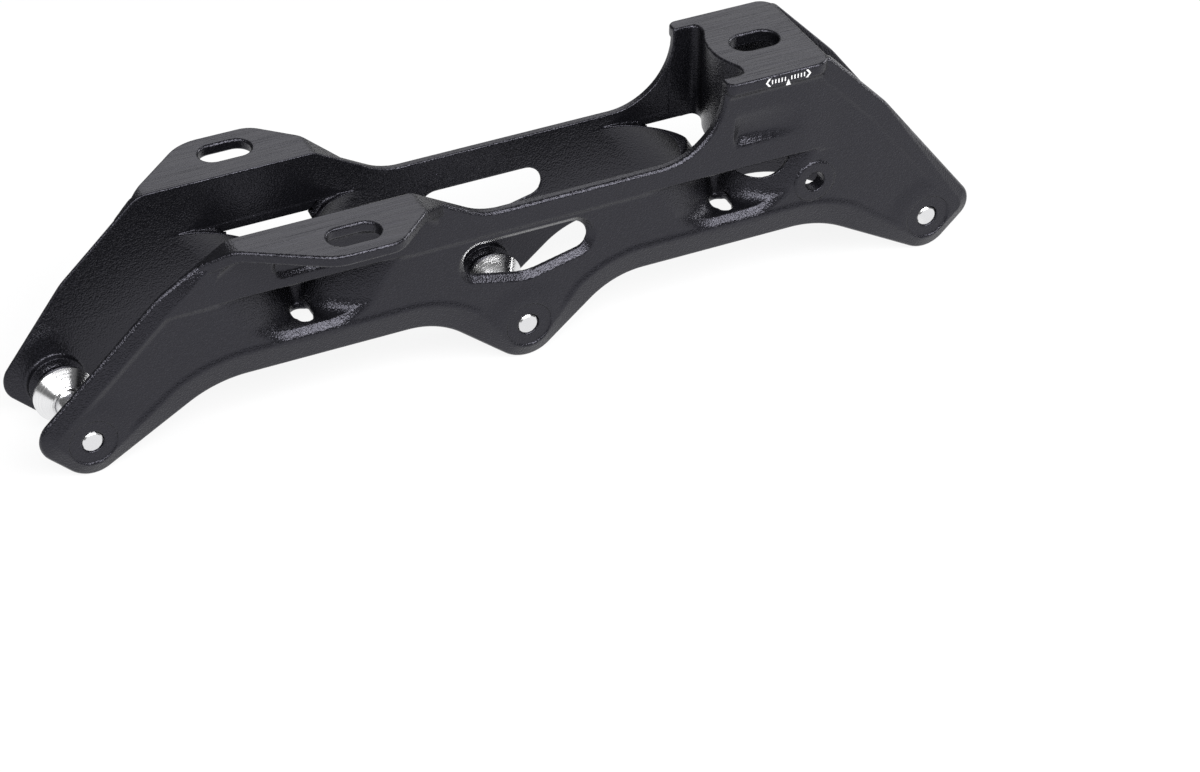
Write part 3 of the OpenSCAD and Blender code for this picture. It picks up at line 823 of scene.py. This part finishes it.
def surface_grain():
    """Fine uneven texture, stretched along the directions that a tool has followed."""
    group = bpy.data.node_groups.new("surface_grain", "ShaderNodeTree")
    face = group.interface
    face.new_socket("Stretch", in_out="INPUT", socket_type="NodeSocketVector")
    face.new_socket("Fineness", in_out="INPUT", socket_type="NodeSocketFloat")
    face.new_socket("Height", in_out="OUTPUT", socket_type="NodeSocketFloat")
    face.new_socket("Fleck", in_out="OUTPUT", socket_type="NodeSocketFloat")
    nodes, links = group.nodes, group.links
    given = nodes.new("NodeGroupInput")
    result = nodes.new("NodeGroupOutput")
    place = nodes.new("ShaderNodeTexCoord")
    stretch = nodes.new("ShaderNodeVectorMath")
    stretch.operation = "MULTIPLY"
    grain = nodes.new("ShaderNodeTexNoise")
    grain.inputs["Detail"].default_value = 1.0
    grain.inputs["Roughness"].default_value = 0.5
    fleck = nodes.new("ShaderNodeMapRange")
    fleck.inputs["From Min"].default_value = 0.5
    fleck.inputs["From Max"].default_value = 0.75
    links.new(place.outputs["Object"], stretch.inputs[0])
    links.new(given.outputs["Stretch"], stretch.inputs[1])
    links.new(stretch.outputs["Vector"], grain.inputs["Vector"])
    links.new(given.outputs["Fineness"], grain.inputs["Scale"])
    links.new(grain.outputs["Fac"], fleck.inputs["Value"])
    links.new(grain.outputs["Fac"], result.inputs["Height"])
    links.new(fleck.outputs["Result"], result.inputs["Fleck"])
    return group


def grained(name, dark, light, metallic, rough, stretch, fineness, depth, tint=(1.0, 1.0, 1.0)):
    """Metal finish with a grain in its relief, its tone and its gloss."""
    mat = bpy.data.materials.new(name)
    mat.use_nodes = True
    nodes, links = mat.node_tree.nodes, mat.node_tree.links
    shader = nodes["Principled BSDF"]
    shader.inputs["Metallic"].default_value = metallic
    shader.inputs["Specular Tint"].default_value = (*tint, 1.0)
    shader.inputs["IOR"].default_value = OXIDE_IOR
    grain = nodes.new("ShaderNodeGroup")
    grain.node_tree = GRAIN
    grain.inputs["Stretch"].default_value = stretch
    grain.inputs["Fineness"].default_value = fineness
    tone = nodes.new("ShaderNodeMix")
    tone.data_type = "RGBA"
    tone.inputs["A"].default_value = (*dark, 1.0)
    tone.inputs["B"].default_value = (*light, 1.0)
    gloss = nodes.new("ShaderNodeMapRange")
    gloss.inputs["To Min"].default_value = rough[0]
    gloss.inputs["To Max"].default_value = rough[1]
    bump = nodes.new("ShaderNodeBump")
    bump.inputs["Strength"].default_value = 1.0
    bump.inputs["Distance"].default_value = depth
    links.new(grain.outputs["Fleck"], tone.inputs["Factor"])
    links.new(tone.outputs["Result"], shader.inputs["Base Color"])
    links.new(grain.outputs["Fleck"], gloss.inputs["Value"])
    links.new(gloss.outputs["Result"], shader.inputs["Roughness"])
    links.new(grain.outputs["Height"], bump.inputs["Height"])
    links.new(bump.outputs["Normal"], shader.inputs["Normal"])
    return mat


def black_anodised():
    """Blasted and black anodised aluminium."""
    return grained("black_anodised", dark=(0.0035, 0.0035, 0.0045), light=(0.008, 0.008, 0.01),
                   metallic=0.0, rough=(0.26, 0.32), stretch=(1.0, 1.0, 1.0), fineness=2100.0,
                   depth=0.00015, tint=COOL)


def brushed_top():
    """The same metal, brushed along the frame on the mounting faces."""
    return grained("brushed_black", dark=(0.003, 0.003, 0.004), light=(0.024, 0.024, 0.029),
                   metallic=0.0, rough=(0.26, 0.4), stretch=(0.012, 1.0, 1.0), fineness=2600.0,
                   depth=0.00009, tint=COOL)


GRAIN = surface_grain()
BRIGHT_AXLE = grained("bright_axle", dark=(0.74, 0.74, 0.75), light=(0.84, 0.84, 0.84), metallic=1.0,
                      rough=(0.2, 0.3), stretch=(0.05, 1.0, 0.05), fineness=2400.0, depth=0.000012)
BRIGHT_SPACER = grained("bright_spacer", dark=(0.8, 0.8, 0.81), light=(0.9, 0.9, 0.9), metallic=1.0,
                        rough=(0.2, 0.28), stretch=(0.0, 1.0, 0.0), fineness=2600.0, depth=0.00001)
WHITE_PRINT = grained("white_print", dark=(0.66, 0.66, 0.66), light=(0.74, 0.74, 0.74), metallic=0.0,
                      rough=(0.45, 0.55), stretch=(1.0, 1.0, 1.0), fineness=3000.0, depth=0.00001)


# Studio

FLOOR_HALF = 6.0
FLOOR_WHITE = 0.88
ROOM_LIGHT = 0.13


def white_share(nodes, links, most):
    """Share of white that the camera and mirror-like surfaces see in place of the lit surface."""
    path = nodes.new("ShaderNodeLightPath")
    total = path.outputs["Is Camera Ray"]
    for ray in ("Is Glossy Ray", "Is Transmission Ray"):
        sum_node = nodes.new("ShaderNodeMath")
        sum_node.operation = "MAXIMUM"
        links.new(total, sum_node.inputs[0])
        links.new(path.outputs[ray], sum_node.inputs[1])
        total = sum_node.outputs[0]
    share = nodes.new("ShaderNodeMath")
    share.operation = "MULTIPLY"
    share.inputs[1].default_value = most
    links.new(total, share.inputs[0])
    return share.outputs[0]


def floor_material():
    """Pale matt floor that keeps the shadow and is white elsewhere."""
    mat = bpy.data.materials.new("pale_floor")
    mat.use_nodes = True
    nodes, links = mat.node_tree.nodes, mat.node_tree.links
    nodes.clear()
    out = nodes.new("ShaderNodeOutputMaterial")
    lit = nodes.new("ShaderNodeBsdfDiffuse")
    lit.inputs["Color"].default_value = (0.8, 0.8, 0.81, 1.0)
    glow = nodes.new("ShaderNodeEmission")
    glow.inputs["Strength"].default_value = 1.0
    mix = nodes.new("ShaderNodeMixShader")
    links.new(white_share(nodes, links, FLOOR_WHITE), mix.inputs[0])
    links.new(lit.outputs[0], mix.inputs[1])
    links.new(glow.outputs[0], mix.inputs[2])
    links.new(mix.outputs[0], out.inputs["Surface"])
    return mat


def floor():
    """Flat floor under the frame."""
    bm = bmesh.new()
    bmesh.ops.create_grid(bm, x_segments=1, y_segments=1, size=FLOOR_HALF)
    mesh = bpy.data.meshes.new("floor")
    bm.to_mesh(mesh)
    bm.free()
    piece = bpy.data.objects.new("floor", mesh)
    bpy.context.scene.collection.objects.link(piece)
    mesh.materials.append(floor_material())


def studio_world():
    """Dim room, white where the camera looks past the floor."""
    world = bpy.data.worlds.new("studio")
    bpy.context.scene.world = world
    world.use_nodes = True
    nodes, links = world.node_tree.nodes, world.node_tree.links
    back = nodes["Background"]
    back.inputs["Color"].default_value = (1.0, 1.0, 1.0, 1.0)
    path = nodes.new("ShaderNodeLightPath")
    level = nodes.new("ShaderNodeMix")
    level.data_type = "FLOAT"
    level.inputs["A"].default_value = ROOM_LIGHT
    level.inputs["B"].default_value = 1.0
    links.new(path.outputs["Is Camera Ray"], level.inputs["Factor"])
    links.new(level.outputs["Result"], back.inputs["Strength"])


def softbox(name, place, size, watts):
    """Rectangular lamp aimed at the middle of the frame."""
    light = bpy.data.lights.new(name, "AREA")
    light.shape = "RECTANGLE"
    light.size, light.size_y = size
    light.energy = watts
    obj = bpy.data.objects.new(name, light)
    bpy.context.scene.collection.objects.link(obj)
    obj.location = place
    aim = Vector((0.0, 0.0, 0.03))
    obj.rotation_euler = (aim - Vector(place)).to_track_quat("-Z", "Y").to_euler()


def camera():
    """Camera at the photograph's viewpoint, on the left of the toe and above it."""
    place = Vector((0.34059, 0.76763, 0.58719))
    forward = Vector((-0.35226, -0.72906, -0.58684))
    up = Vector((-0.25245, -0.52977, 0.80970))
    right = forward.cross(up)
    cam = bpy.data.cameras.new("camera")
    cam.sensor_width = 36.0
    cam.lens = 108.36
    cam.clip_start = 0.01
    obj = bpy.data.objects.new("camera", cam)
    bpy.context.scene.collection.objects.link(obj)
    turn = Matrix((right, up, -forward)).transposed().to_4x4()
    obj.matrix_world = Matrix.Translation(place) @ turn
    bpy.context.scene.camera = obj


camera()
floor()
studio_world()
softbox("front", place=(-0.05, 0.78, 0.92), size=(1.5, 0.42), watts=25.0)
softbox("toe_side", place=(0.87, 0.48, 0.8), size=(0.4, 0.4), watts=5.0)
softbox("heel_side", place=(-1.25, -0.06, 0.43), size=(0.45, 0.45), watts=6.0)
softbox("back", place=(-0.5, -1.0, 0.95), size=(1.4, 0.9), watts=7.0)
bpy.context.scene.view_settings.view_transform = "Standard"

machined_body()
for place in AXLE_X:
    axle_bolt(place)
    spool(place)
scale_marks(LEFT, "scale_marks_left")
scale_marks(RIGHT, "scale_marks_right")
